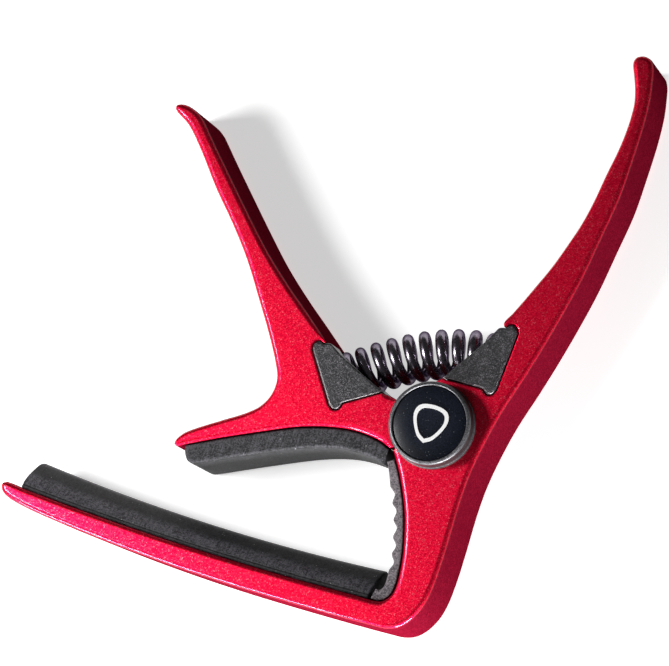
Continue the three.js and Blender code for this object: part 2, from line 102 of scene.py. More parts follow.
# Millimetres, for the string pad. Its section goes from one side's foot to the crown.
ARM_LOW_X = -28                     # lowest point of the string arm's top, from the pivot
ARM_LOW_Y = -28.05
ARM_CURVE_RADIUS = 540
STRING_PAD_HEIGHT = 4.45
STRING_PAD_END_RISE = 0.1           # how much taller, as a fraction, the ends are
STRING_PAD_LIFT = 0.03              # clear of the arm
STRING_PAD_END_ROUND = 0.35
STRING_PAD_LIP = 5.42               # half the width just above the lip
STRING_PAD_FLANK = [(5.35, 0.23), (4.4, 0.46), (2.9, 0.71), (1.4, 0.92), (0, 1)]
STRING_PAD_SLICES = 90

# Millimetres from the pivot: the spring's bent centreline is one Bezier curve.
SPRING_LINE = [Vector((-18.06, 3.38)), Vector((-8.75, 10.15)), Vector((-2.0, 13.35)),
               Vector((5.88, 12.95))]
COIL_RADIUS = 3.0
WIRE_RADIUS = 0.85
TURNS = 10.5
FIRST_CREST = 0.5                   # turns before the wire first reaches its outermost side
CLOSED_TURNS = 0.9                  # at each end
CLOSED_PITCH = 1.85
STEPS_PER_TURN = 48
WIRE_SIDES = 20
WIRE_END_ROUND = 0.2                # of the wire's radius
BLEND_PAST = 0.06                   # how far past the spring's ends, as a share of its length, make_spring extends its start and end points

CAP_PLUG = 1.7 * MM                 # radius of the plug in the screw's socket
CAP_INSIDE = 5.72 * MM
CAP_FOOT = 6.45 * MM
CAP_STEP = 6.55 * MM
CAP_SIDE = 6.36 * MM
CAP_ROUND = 0.5 * MM                # round the outside of the crest
CAP_LIFT = 0.1 * MM                 # the foot, clear of the front face
CAP_FLOOR_TOP = 0.1 * MM            # below the disc
CAP_FLOOR_BOTTOM = 0.7 * MM         # below the disc

FLAKE = 0.13 * MM                   # size of a flake or fleck in the hard surfaces

CAMERA_RIGHT = Vector((0.90912, 0.31113, -0.27695))
CAMERA_UP = Vector((-0.26217, 0.94408, 0.19997))
CAMERA_FROM_CAP = Vector((155.264, -49.611, 507.517)) * MM     # from the pivot at the front face
CAMERA_LENS = 191.8

LIGHT_TARGET = Vector((-0.008, -0.01, MIDDLE))
KEY_DIRECTION = Vector((-0.595, -0.235, 0.768))
KEY_DISTANCE = 0.29
WORLD_STRENGTH = 0.04
FLOOR_HALF = 1.5
FLOOR_DROP = 0.02 * MM              # keeps the floor off the capo's back


# ---- outlines ------------------------------------------------------------------------

def flat_sides(node, height):
    """Directed sides of all the faces of a CAD node that lie flat at one height."""
    mesh = frame["nodes"][node].data
    keys = [tuple(round(c / MM, 3) for c in vertex.co) for vertex in mesh.vertices]
    place = {key: vertex.co.copy() for key, vertex in zip(keys, mesh.vertices)}
    sides = set()
    for polygon in mesh.polygons:
        corners = [keys[i] for i in polygon.vertices]
        if all(abs(place[c].z - height) < 0.002 * MM for c in corners):
            sides.update(zip(corners, corners[1:] + corners[:1]))
    return sides, place


def outlines_at(node, height):
    """Closed loops around the faces of a CAD node that lie flat at one height, longest first."""
    sides, place = flat_sides(node, height)
    following = {}
    for a, b in sides:
        if (b, a) not in sides:
            following.setdefault(a, []).append(b)
    loops = []
    while following:
        start = min(following)
        loop = [start]
        here = start
        while True:
            ahead = following[here].pop()
            if not following[here]:
                del following[here]
            if ahead == start:
                break
            loop.append(ahead)
            here = ahead
        loops.append([Vector((place[k].x, place[k].y)) for k in loop])
    return sorted(loops, key=length_of, reverse=True)


def without_reversals(loop):
    """The loop without the corners where it doubles back on itself."""
    loop = list(loop)
    i = 0
    while i < len(loop):
        came = loop[i] - loop[i - 1]
        goes = loop[(i + 1) % len(loop)] - loop[i]
        if came.dot(goes) < -0.5 * came.length * goes.length:
            del loop[i]
            i = max(i - 2, 0)
        else:
            i += 1
    return loop


def length_of(loop):
    return sum((a - b).length for a, b in zip(loop, loop[1:] + loop[:1]))


def area_of(loop):
    return 0.5 * sum(a.x * b.y - b.x * a.y for a, b in zip(loop, loop[1:] + loop[:1]))


def counter_clockwise(loop):
    return loop if area_of(loop) > 0 else loop[::-1]


def scaled_about_pivot(loop, factor):
    return [AXIS + (point - AXIS) * factor for point in loop]


def distance_to(point, loop):
    """From a point to the nearest side of a closed loop."""
    a = np.array(loop)
    b = np.roll(a, -1, axis=0)
    p = np.array(point)
    side = b - a
    share = np.clip(((p - a) * side).sum(1) / (side * side).sum(1), 0, 1)
    return float(np.sqrt((((a + share[:, None] * side) - p) ** 2).sum(1)).min())


# ---- mesh tools ----------------------------------------------------------------------

def mesh_from(name, vertices, faces, same_place=1e-6):
    """A closed piece: joins points that share a place and turns all faces outwards."""
    mesh = bpy.data.meshes.new(name)
    mesh.from_pydata([tuple(v) for v in vertices], [], faces)
    mesh.validate()
    mesh.update()
    piece = bpy.data.objects.new(name, mesh)
    bpy.context.scene.collection.objects.link(piece)
    work = bmesh.new()
    work.from_mesh(mesh)
    bmesh.ops.remove_doubles(work, verts=work.verts, dist=same_place)
    bmesh.ops.recalc_face_normals(work, faces=work.faces)
    work.to_mesh(mesh)
    work.free()
    return piece


def faces_between(rings, count):
    """Four-sided faces between rings of points that follow each other in one list."""
    faces = []
    for k in range(rings - 1):
        for i in range(count):
            j = (i + 1) % count
            faces.append((k * count + i, k * count + j, (k + 1) * count + j, (k + 1) * count + i))
    return faces


def end_faces(total, count):
    """One face over the first ring of points, and one over the last."""
    return [tuple(range(count)), tuple(range(total - 1, total - 1 - count, -1))]


def cap_faces(ring):
    """Triangles that fill a closed outline, as indices into it."""
    count = len(ring)
    flat = [Vector((p[0] / MM, p[1] / MM)) for p in ring]
    result = delaunay_2d_cdt(flat, [], [tuple(range(count))], 1, 1e-5)
    nearest = []
    for point, origins in zip(result[0], result[3]):
        found = min(origins) if origins else min(range(count), key=lambda i: (flat[i] - point).length)
        nearest.append(found)
    filled = [tuple(nearest[i] for i in face) for face in result[2]]
    return [face for face in filled if len(set(face)) == 3]


def plate(name, loop, low, high):
    """A prism of one closed outline."""
    loop = counter_clockwise(loop)
    count = len(loop)
    vertices = [(p.x, p.y, low) for p in loop] + [(p.x, p.y, high) for p in loop]
    faces = []
    for a, b, c in cap_faces(loop):
        faces.append((a, c, b))
        faces.append((a + count, b + count, c + count))
    return mesh_from(name, vertices, faces + faces_between(2, count))


def inset_ring(loop, inward, distances):
    """The loop moved inwards, with the stretches that would fold over drawn together."""
    ring = loop + inward * distances[:, None]
    along = np.roll(loop, -1, axis=0) - loop
    count = len(loop)
    rounds = 40
    for _ in range(rounds):
        moved = np.roll(ring, -1, axis=0) - ring
        folded = (moved * along).sum(1) < -1e-12
        if not folded.any():
            break
        group = np.arange(count)
        for i in range(count):
            if folded[i]:
                group[(i + 1) % count] = group[i]
        for g in set(group[folded]):
            members = group == g
            ring[members] = ring[members].mean(0)
    return ring


def room_inside(loop, inward, most):
    """How far each point can move in before it comes closer to another stretch of the outline."""
    least = 0.15           # of the most, which every point keeps
    one_step = 0.06        # a little more than the step between two shares
    nearly = 0.97
    room = np.full(len(loop), least * most)
    for share in np.linspace(0.2, 1, 17):
        reach = share * most
        for i, point in enumerate(loop + inward * (reach + EDGE_BAND)):
            clear = distance_to(point, loop) > nearly * (reach + EDGE_BAND)
            if clear and room[i] > (share - one_step) * most:
                room[i] = reach
    return room


def inward_of(loop):
    """Direction from each point of a counter-clockwise loop to its inside, longer at corners."""
    ahead = np.roll(loop, -1, axis=0) - loop
    ahead /= np.linalg.norm(ahead, axis=1)[:, None]
    behind = np.roll(ahead, 1, axis=0)
    bisector = ahead + behind
    bisector /= np.maximum(np.linalg.norm(bisector, axis=1), 1e-9)[:, None]
    inward = np.stack([-bisector[:, 1], bisector[:, 0]], axis=1)
    longer = 1 / np.maximum((bisector * ahead).sum(1), 0.6)
    return inward * longer[:, None]


def rounded_plate(name, loop, low, high, radius_at, steps=6):
    """A flat plate with rounded edges on both faces. radius_at gives the rounding at a point."""
    loop = np.array([tuple(p) for p in counter_clockwise(loop)])
    count = len(loop)
    inward = inward_of(loop)
    radii = np.array([radius_at(Vector(p)) for p in loop])
    radii = np.minimum(radii, room_inside(loop, inward, radii.max()))
    for _ in range(3):
        softer = (np.roll(radii, 1) + 2 * radii + np.roll(radii, -1)) / 4
        radii = np.minimum(softer, radii)

    upper = [(0, -radii - EDGE_BAND)]
    for k in range(steps + 1):
        angle = math.pi / 2 * k / steps
        upper.append((radii * (1 - math.cos(angle)), -radii * (1 - math.sin(angle))))
    upper.append((radii + EDGE_BAND, 0 * radii))
    rings = [(inset, high + drop) for inset, drop in upper]
    rings = [(inset, low - drop) for inset, drop in reversed(upper)] + rings

    vertices = []
    for inset, heights in rings:
        ring = inset_ring(loop, inward, inset + 0 * radii)
        vertices += [(x, y, z) for (x, y), z in zip(ring, heights + 0 * radii)]
    faces = faces_between(len(rings), count)
    start = (len(rings) - 1) * count
    for a, b, c in cap_faces(vertices[start:]):
        faces.append((a + start, b + start, c + start))
        faces.append((a, c, b))
    return mesh_from(name, vertices, faces)


def cylinder(name, centre, radius, low, high, sides=64):
    ring = [
        Vector((centre.x + radius * math.cos(2 * math.pi * i / sides),
                centre.y + radius * math.sin(2 * math.pi * i / sides)))
        for i in range(sides)
    ]
    return plate(name, ring, low, high)


def turned(name, profile, sides=128):
    """A piece turned about the pivot's axis. profile is a list of (radius, height)."""
    vertices = []
    faces = []
    count = len(profile)
    for i in range(sides):
        angle = 2 * math.pi * i / sides
        for radius, height in profile:
            vertices.append((AXIS.x + radius * math.cos(angle), AXIS.y + radius * math.sin(angle), height))
    for i in range(sides):
        j = (i + 1) % sides
        for k in range(count - 1):
            faces.append((i * count + k, j * count + k, j * count + k + 1, i * count + k + 1))
    return mesh_from(name, vertices, faces)


def combined(piece, tool, operation):
    """piece cut by, or joined with, a tool that is then removed."""
    boolean = piece.modifiers.new("combine", "BOOLEAN")
    boolean.object = tool
    boolean.operation = operation
    boolean.solver = "EXACT"
    bpy.context.view_layer.update()
    shown = piece.evaluated_get(bpy.context.evaluated_depsgraph_get())
    mesh = bpy.data.meshes.new_from_object(shown)
    piece.modifiers.clear()
    piece.data = mesh
    bpy.data.objects.remove(tool)


def shade(piece, degrees=35):
    """Smooth across gentle bends, crisp across sharp ones."""
    mesh = piece.data
    limit = math.radians(degrees)
    work = bmesh.new()
    work.from_mesh(mesh)
    for face in work.faces:
        face.smooth = True
    for edge in work.edges:
        sharp = len(edge.link_faces) != 2 or edge.calc_face_angle(0) > limit
        edge.smooth = not sharp
    work.to_mesh(mesh)
    work.free()


def painted(piece, material):
    piece.data.materials.clear()
    piece.data.materials.append(material)


# ---- camera, floor and lights --------------------------------------------------------

def make_camera():
    data = bpy.data.cameras.new("camera")
    data.sensor_width = 36
    data.lens = CAMERA_LENS
    data.clip_start = 0.01
    data.clip_end = 10
    camera = bpy.data.objects.new("camera", data)
    bpy.context.scene.collection.objects.link(camera)
    back = CAMERA_RIGHT.cross(CAMERA_UP)
    turn = Matrix((CAMERA_RIGHT, CAMERA_UP, back)).transposed().to_4x4()
    place = Vector((PIVOT.x, PIVOT.y, FRONT)) + CAMERA_FROM_CAP
    camera.matrix_world = Matrix.Translation(place) @ turn
    bpy.context.scene.camera = camera


def make_floor():
    reach = FLOOR_HALF
    corners = [(-reach, -reach, 0), (reach, -reach, 0), (reach, reach, 0), (-reach, reach, 0)]
    floor = mesh_from("floor", corners, [(0, 1, 2, 3)])
    floor.location.z = BACK - FLOOR_DROP
    painted(floor, floor_paper())


def area_light(name, place, size, power):
    data = bpy.data.lights.new(name, "AREA")
    data.shape = "RECTANGLE"
    data.size, data.size_y = size
    data.energy = power
    light = bpy.data.objects.new(name, data)
    bpy.context.scene.collection.objects.link(light)
    light.location = place
    aim = LIGHT_TARGET - light.location
    light.rotation_euler = aim.to_track_quat("-Z", "Y").to_euler()


def make_lights():
    """A soft key light from the left, a strip beyond the string arm and a low fill on the right."""
    bpy.context.scene.view_settings.view_transform = "Standard"
    world = bpy.data.worlds.new("studio")
    world.use_nodes = True
    background = world.node_tree.nodes["Background"]
    background.inputs["Color"].default_value = (1, 1, 1, 1)
    background.inputs["Strength"].default_value = WORLD_STRENGTH
    bpy.context.scene.world = world
    area_light("key", LIGHT_TARGET + KEY_DISTANCE * KEY_DIRECTION, (0.085, 0.085), 0.93)
    area_light("edge_strip", Vector((-0.12, -0.29, 0.075)), (0.14, 0.07), 1.3)
    area_light("low_fill", Vector((0.15, -0.24, 0.04)), (0.16, 0.05), 2.5)


# ---- materials -----------------------------------------------------------------------

class Paint:
    """A node material under construction, on the coordinates of the piece itself."""

    def __init__(self, name):
        self.material = bpy.data.materials.new(name)
        self.material.use_nodes = True
        self.tree = self.material.node_tree
        self.shader = self.tree.nodes["Principled BSDF"]
        self.place = self.node("ShaderNodeTexCoord").outputs["Object"]

    def node(self, kind, **settings):
        made = self.tree.nodes.new(kind)
        for key, value in settings.items():
            setattr(made, key, value)
        return made

    def join(self, source, target):
        self.tree.links.new(source, target)

    def feed(self, **sources):
        """Joins outputs to the shader's inputs, named with _ for a space."""
        for key, source in sources.items():
            self.join(source, self.shader.inputs[key.replace("_", " ")])

    def set(self, **values):
        """Sets fixed values on the shader's inputs, named with _ for a space."""
        for key, value in values.items():
            self.shader.inputs[key.replace("_", " ")].default_value = value

    def stretched(self, scale):
        mapping = self.node("ShaderNodeMapping")
        mapping.inputs["Scale"].default_value = scale
        self.join(self.place, mapping.inputs["Vector"])
        return mapping.outputs["Vector"]

    def noise(self, size, detail=2.0, roughness=0.5, place=None):
        made = self.node("ShaderNodeTexNoise")
        made.inputs["Scale"].default_value = 1 / size
        made.inputs["Detail"].default_value = detail
        made.inputs["Roughness"].default_value = roughness
        self.join(place or self.place, made.inputs["Vector"])
        return made.outputs["Fac"]

    def cells(self, size):
        made = self.node("ShaderNodeTexVoronoi")
        made.inputs["Scale"].default_value = 1 / size
        self.join(self.place, made.inputs["Vector"])
        return made

    def specks(self, size, inner, outer):
        """1 in the middle of each cell and 0 beyond the outer share of its size."""
        return self.ramp(self.cells(size).outputs["Distance"], [(inner, grey(1)), (outer, grey(0))])

    def flecks(self, size):
        """Three chance values for each small cell, as the outputs Red, Green and Blue."""
        parts = self.node("ShaderNodeSeparateColor")
        self.join(self.cells(size).outputs["Color"], parts.inputs["Color"])
        return parts.outputs

    def upright(self):
        """1 on the faces that look along Z, 0 on the walls between them."""
        parts = self.node("ShaderNodeSeparateXYZ")
        self.join(self.node("ShaderNodeTexCoord").outputs["Normal"], parts.inputs["Vector"])
        return self.math("ABSOLUTE", parts.outputs["Z"])

    def ramp(self, source, stops):
        made = self.node("ShaderNodeValToRGB")
        elements = made.color_ramp.elements
        while len(elements) < len(stops):
            elements.new(0.5)
        for element, (position, color) in zip(elements, stops):
            element.position = position
            element.color = (*color, 1)
        self.join(source, made.inputs["Fac"])
        return made.outputs["Color"]

    def math(self, operation, *sources):
        made = self.node("ShaderNodeMath", operation=operation)
        for socket, source in zip(made.inputs, sources):
            self.join(source, socket)
        return made.outputs["Value"]

    def mix(self, share, a, b, blend="MIX"):
        made = self.node("ShaderNodeMix", data_type="RGBA", blend_type=blend)
        factor, first, second = made.inputs[0], made.inputs[6], made.inputs[7]
        for socket, value in zip((factor, first, second), (share, a, b)):
            if isinstance(value, (int, float)):
                socket.default_value = value
            elif isinstance(value, tuple):
                socket.default_value = (*value, 1)
            else:
                self.join(value, socket)
        return made.outputs[2]

    def bump(self, height, distance, strength):
        made = self.node("ShaderNodeBump")
        made.inputs["Strength"].default_value = strength
        made.inputs["Distance"].default_value = distance
        self.join(height, made.inputs["Height"])
        self.join(made.outputs["Normal"], self.shader.inputs["Normal"])


def grey(value):
    return (value, value, value)


def floor_paper():
    paint = Paint("floor_paper")
    paint.feed(Base_Color=paint.ramp(paint.noise(0.05), [(0.3, grey(0.7)), (0.7, grey(0.73))]))
    paint.set(Roughness=0.9, Emission_Color=(1, 1, 1, 1), Emission_Strength=0.58)
    return paint.material


def enamel(name):
    """Crimson enamel with fine metal flakes, matter on the walls, whose colour is painted far darker than
    the flat faces': painted shade.
    """
    paint = Paint(name)
    flakes = paint.flecks(FLAKE)
    fine = paint.noise(0.2 * MM, detail=3, roughness=0.7)
    tone = paint.mix(0.5, flakes["Red"], fine)
    face = paint.ramp(tone, [
        (0.26, (0.6, 0.001, 0.022)),
        (0.5, (0.82, 0.003, 0.037)),
        (0.74, (1.0, 0.018, 0.062)),
    ])
    sparks = paint.ramp(flakes["Green"], [(0.9, grey(0)), (1.0, grey(0.4))])
    face = paint.mix(sparks, face, (1.0, 0.25, 0.32))
    # Painted shade: the walls get a much darker red than the faces, standing in for the shade they fall
    # in.
    wall_painted_shade = paint.ramp(tone, [
        (0.2, (0.055, 0.001, 0.005)),
        (0.5, (0.095, 0.002, 0.009)),
        (0.8, (0.16, 0.005, 0.017)),
    ])
    upright = paint.upright()
    faceness = paint.ramp(upright, [(0.4, grey(0)), (0.8, grey(1))])
    paint.feed(
        Base_Color=paint.mix(faceness, wall_painted_shade, face),
        Roughness=paint.ramp(upright, [(0.05, grey(0.6)), (0.5, grey(0.37))]),
        Coat_Weight=paint.ramp(upright, [(0.2, grey(0)), (0.6, grey(0.45))]),
        Metallic=paint.ramp(upright, [(0.4, grey(0.15)), (0.8, grey(0.92))]),
    )
    paint.set(Coat_Roughness=0.06, Specular_Tint=(0.3, 0.03, 0.08, 1), Specular_IOR_Level=0.0)
    paint.bump(flakes["Blue"], 0.004 * MM, 0.5)
    return paint.material


def rubber(name, dark, light, wear_lines, light_and_shade_zones=None):
    """Matt rubber with a fine grain, wear lines and dust.

    wear_lines stretches the grain. zones are (rise, share of light) pairs up a moulded ridge: painted
    shade on the lip and the upper flanks, and a painted highlight on the crest. Without zones the walls
    are painted darker than the front and back faces: painted shade.
    """
    paint = Paint(name)
    flecks = paint.flecks(0.16 * MM)
    grain = paint.noise(0.35 * MM, detail=4, roughness=0.65, place=paint.stretched(wear_lines))
    patches = paint.noise(2.5 * MM, detail=3)
    tone = paint.mix(0.75, flecks["Red"], paint.mix(0.3, grain, patches))
    base = paint.ramp(tone, [(0.38, dark), (0.62, light)])
    if light_and_shade_zones:
        rise = paint.node("ShaderNodeAttribute", attribute_name="rise").outputs["Fac"]
        # Painted shade and painted highlight, by height up the ridge.
        painted_light_and_shade = paint.ramp(rise, [(height, grey(share)) for height, share in light_and_shade_zones])
    else:
        # Painted shade: the walls darker than the front and back faces.
        painted_light_and_shade = paint.ramp(paint.upright(), [(0.3, grey(0.45)), (0.9, grey(1))])
    base = paint.mix(1.0, base, painted_light_and_shade, "MULTIPLY")
    dust = paint.specks(0.7 * MM, 0.05, 0.14)
    here = paint.ramp(paint.noise(1.3 * MM), [(0.52, grey(0)), (0.6, grey(1))])
    paint.feed(Base_Color=paint.mix(paint.math("MULTIPLY", dust, here), base, grey(0.32)))
    paint.set(Roughness=0.62, Specular_IOR_Level=0.25)
    paint.bump(flecks["Green"], 0.03 * MM, 0.5)
    return paint.material


def seat_plastic(name):
    """Grey moulding with a sparkle of fine grain."""
    paint = Paint(name)
    flecks = paint.flecks(FLAKE)
    patches = paint.noise(1.6 * MM)
    tone = paint.mix(0.25, flecks["Red"], patches)
    paint.feed(Base_Color=paint.ramp(tone, [
        (0.2, (0.004, 0.004, 0.005)),
        (0.65, (0.028, 0.027, 0.03)),
        (0.95, (0.15, 0.14, 0.155)),
    ]))
    paint.set(Roughness=0.3, Specular_IOR_Level=0.6)
    paint.bump(flecks["Green"], 0.03 * MM, 0.7)
    return paint.material


def polished_steel(name):
    """Dark polished wire, with soft streaks in its colour and gloss."""
    paint = Paint(name)
    streaks = paint.noise(0.5 * MM)
    gloss = paint.noise(0.3 * MM, detail=3)
    paint.feed(
        Base_Color=paint.ramp(streaks, [(0.3, (0.25, 0.22, 0.265)), (0.7, (0.37, 0.335, 0.4))]),
        Roughness=paint.ramp(gloss, [(0.3, grey(0.22)), (0.8, grey(0.31))]),
    )
    paint.set(Metallic=1.0, Specular_Tint=(0.12, 0.11, 0.13, 1))
    return paint.material


def plain_metal(name, tint):
    paint = Paint(name)
    lines = paint.noise(0.2 * MM, detail=3)
    darker = tuple(0.7 * c for c in tint)
    paint.feed(Base_Color=paint.ramp(lines, [(0.3, darker), (0.7, tint)]))
    paint.set(Metallic=1.0, Roughness=0.35)
    paint.bump(lines, 0.01 * MM, 0.4)
    return paint.material


def cap_metal(name):
    """Satin grey, with the walls painted darker than the crest: painted shade."""
    paint = Paint(name)
    flecks = paint.flecks(FLAKE)
    grain = paint.noise(0.12 * MM, detail=4, roughness=0.7)
    tone = paint.mix(0.4, grain, flecks["Red"])
    base = paint.ramp(tone, [(0.3, (0.03, 0.03, 0.033)), (0.7, (0.13, 0.13, 0.14))])
    # Painted shade: the walls darker than the crest.
    painted_light_and_shade = paint.ramp(paint.upright(), [(0.1, grey(0.22)), (0.7, grey(1))])
    paint.feed(Base_Color=paint.mix(1.0, base, painted_light_and_shade, "MULTIPLY"))
    paint.set(Metallic=0.3, Roughness=0.34, Specular_IOR_Level=0.3)
    paint.bump(grain, 0.02 * MM, 0.6)
    return paint.material


def cap_gloss(name):
    """Near-black gloss with a few pale specks."""
    paint = Paint(name)
    grain = paint.noise(0.14 * MM, detail=3, roughness=0.7)
    base = paint.ramp(grain, [(0.35, (0.003, 0.004, 0.007)), (0.65, (0.012, 0.014, 0.024))])
    specks = paint.specks(0.45 * MM, 0.06, 0.14)
    some = paint.ramp(paint.noise(0.9 * MM), [(0.46, grey(0)), (0.6, grey(0.8))])
    paint.feed(Base_Color=paint.mix(paint.math("MULTIPLY", specks, some), base, (0.25, 0.26, 0.28)))
    paint.set(Roughness=0.26, Specular_IOR_Level=0.2)
    return paint.material


def emblem_print(name):
    paint = Paint(name)
    shades = paint.noise(0.2 * MM, detail=3)
    paint.feed(Base_Color=paint.ramp(shades, [(0.3, grey(0.6)), (0.7, grey(0.75))]))
    paint.set(Roughness=0.5, Metallic=0.2)
    return paint.material


# ---- castings ------------------------------------------------------------------------

def casting(name, node, seat):
    """One cast half: its outline from the CAD node's front face, with rounded edges."""
    outline = outlines_at(node, FRONT)[0]
    pocket = outlines_at(seat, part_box(seat)[1].z)[0]

    def radius_at(point):
        if (point - AXIS).length < CHEEK_REACH:
            return CHEEK_ROUND
        if distance_to(point, pocket) < 0.4 * MM:
            return POCKET_ROUND
        return METAL_ROUND

    return rounded_plate(name, outline, BACK, FRONT, radius_at)


def make_body():
    """The casting with the fork's slot, the screw's hole and the nut's recess cut out."""
    piece = casting("right_handle_and_string_arm", "body", "body_spring_seat")
    slot = cylinder("slot", PIVOT, SLOT_RADIUS, MIDDLE - SLOT_HALF_WIDTH, MIDDLE + SLOT_HALF_WIDTH, 96)
    combined(piece, slot, "DIFFERENCE")
    bore = cylinder("bore", PIVOT, SCREW_BORE, BACK - PAST, FRONT + PAST)
    combined(piece, bore, "DIFFERENCE")
    nut_low, nut_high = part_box("pivot_nut")
    outline = scaled_about_pivot(outlines_at("pivot_nut", nut_low.z)[0], NUT_RECESS)
    recess = plate("recess", outline, BACK - PAST, nut_high.z + NUT_PLAY)
    combined(piece, recess, "DIFFERENCE")
    shade(piece)
    painted(piece, enamel("body_enamel"))
    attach(piece, "body")
    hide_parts("body")


def make_lever():
    """The casting with the tongue added and the bush's hole cut through it."""
    piece = casting("left_handle_and_neck_arm", "lever", "lever_spring_seat")
    low, high = MIDDLE - TONGUE_HALF, MIDDLE + TONGUE_HALF
    outline = scaled_about_pivot(outlines_at("lever", high)[0], TONGUE_OVERLAP)
    combined(piece, plate("tongue", outline, low, high), "UNION")
    bore = cylinder("bore", PIVOT, BUSH_BORE, BACK - PAST, FRONT + PAST)
    combined(piece, bore, "DIFFERENCE")
    shade(piece)
    painted(piece, enamel("lever_enamel"))
    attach(piece, "lever")
    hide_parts("lever")


# ---- spring seats --------------------------------------------------------------------

def make_seat(name, node, slot, middle, facing, side, body):
    """A wedge with a flange, hollowed by the round pocket that the spring sits in."""
    low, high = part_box(node)
    outline = outlines_at(node, high.z)[0]
    piece = rounded_plate(name, outline, low.z, high.z, lambda point: SEAT_ROUND)
    away = Vector((math.cos(math.radians(facing)), math.sin(math.radians(facing))))
    along = Vector((-away.y, away.x)) * side
    start = AXIS + (middle + along * SEAT_POCKET_RISE + away * SEAT_FLANGE) * MM
    pocket = cylinder("pocket", Vector((0, 0)), SEAT_POCKET_RADIUS, 0, SEAT_POCKET_DEPTH)
    turn = Vector((away.x, away.y, 0)).to_track_quat("Z", "Y").to_matrix().to_4x4()
    pocket.data.transform(Matrix.Translation((start.x, start.y, MIDDLE)) @ turn)
    combined(piece, pocket, "DIFFERENCE")
    shade(piece)
    painted(piece, seat_plastic(slot))
    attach(piece, body)
    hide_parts(node)


# ---- rubber parts --------------------------------------------------------------------

def make_neck_pad():
    low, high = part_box("neck_pad")
    outline = outlines_at("neck_pad", high.z)[0]
    arm = outlines_at("lever", FRONT)[0]

    def radius_at(point):
        return POCKET_ROUND if distance_to(point, arm) < 0.3 * MM else PAD_ROUND

    piece = rounded_plate("neck_pad_rubber", outline, low.z, high.z, radius_at)
    shade(piece)
    painted(piece, rubber("neck_pad_rubber", dark=(0.002, 0.002, 0.003), light=(0.05, 0.049, 0.056),
                          wear_lines=(1, 0.06, 0.3)))
    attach(piece, "lever")
    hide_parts("neck_pad")


def make_web_liner():
    low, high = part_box("web_liner")
    outline = without_reversals(outlines_at("web_liner", high.z)[0])
    piece = rounded_plate("ribbed_web_liner", outline, low.z, high.z, lambda point: LINER_ROUND)
    shade(piece)
    painted(piece, rubber("web_liner_rubber", dark=(0.04, 0.035, 0.04), light=(0.2, 0.175, 0.19),
                          wear_lines=(1, 1, 0.4)))
    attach(piece, "body")
    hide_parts("web_liner")


def arm_top(x):
    """Height of the string arm's top along its gentle curve, in millimetres from the pivot."""
    return ARM_LOW_Y + (x - ARM_LOW_X) ** 2 / (2 * ARM_CURVE_RADIUS)


def smooth_run(points, steps):
    """A smooth run (Catmull-Rom) through points given as (a, b) pairs."""
    p = np.array(points, float)
    p = np.vstack([2 * p[0] - p[1], p, 2 * p[-1] - p[-2]])
    run = []
    for i in range(1, len(p) - 2):
        before, here, ahead, after = p[i - 1], p[i], p[i + 1], p[i + 2]
        for t in np.arange(steps) / steps:
            run.append(0.5 * ((2 * here) + (ahead - before) * t
                              + (2 * before - 5 * here + 4 * ahead - after) * t ** 2
                              + (3 * here - before - 3 * ahead + after) * t ** 3))
    run.append(p[-2])
    return run


def string_pad_section(half_width):
    """The ridge across its length, as (depth from the middle, share of the height) pairs."""
    lip = [
        (half_width - 0.15, 0.0), (half_width, 0.035), (half_width, 0.085),
        (half_width - 0.12, 0.105), (STRING_PAD_LIP, 0.125), (STRING_PAD_LIP + 0.04, 0.16),
    ]
    side = lip + [tuple(p) for p in smooth_run(STRING_PAD_FLANK, 5)]
    return side + [(-depth, share) for depth, share in reversed(side[:-1])]


def string_pad_stations(left, right):
    """Places along the ridge with how far its section draws in there, to round both ends."""
    angles = np.linspace(0, math.pi / 2, 5)
    ends = [left + STRING_PAD_END_ROUND * (1 - math.cos(a)) for a in angles]
    shrink = [STRING_PAD_END_ROUND * (1 - math.sin(a)) for a in angles]
    inner = np.linspace(left + STRING_PAD_END_ROUND, right - STRING_PAD_END_ROUND, STRING_PAD_SLICES)
    places = ends + list(inner[1:-1]) + [left + right - x for x in reversed(ends)]
    insets = shrink + [0] * (STRING_PAD_SLICES - 2) + list(reversed(shrink))
    return list(zip(places, insets))


def make_string_pad():
    """A ridge with a short upright lip, a parting line, sloping flanks and a rounded crown."""
    low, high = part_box("string_pad")
    left, right = low.x / MM, high.x / MM
    half_width = (high.z - low.z) / 2 / MM
    middle, half = (left + right) / 2, (right - left) / 2
    section = string_pad_section(half_width)
    stations = string_pad_stations(left, right)
    vertices = []
    rises = []
    for x, inset in stations:
        height = STRING_PAD_HEIGHT * (1 + STRING_PAD_END_RISE * ((x - middle) / half) ** 2)
        base = PIVOT.y / MM + arm_top(x - PIVOT.x / MM) + STRING_PAD_LIFT
        scale = 1 - inset / half_width
        for depth, share in section:
            y = base + max(share * height - inset * share, 0)
            vertices.append((x * MM, y * MM, MIDDLE + depth * scale * MM))
            rises.append(share)
    count = len(section)
    faces = end_faces(len(vertices), count) + faces_between(len(stations), count)
    piece = mesh_from("string_pad_ridge", vertices, faces)
    piece.data.attributes.new("rise", "FLOAT", "POINT").data.foreach_set("value", rises)
    shade(piece, degrees=28)
    # Painted shade on the lip and the upper flanks, and a painted highlight along the crest.
    light_and_shade_zones = [(0.1, 0.25), (0.22, 1.0), (0.42, 1.0), (0.62, 0.22), (0.93, 0.22), (1.0, 1.0)]
    painted(piece, rubber("string_pad_rubber", dark=(0.022, 0.021, 0.025), light=(0.125, 0.12, 0.135),
                          wear_lines=(1, 0.1, 0.4), light_and_shade_zones=light_and_shade_zones))
    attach(piece, "body")
    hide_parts("string_pad")


# ---- spring --------------------------------------------------------------------------

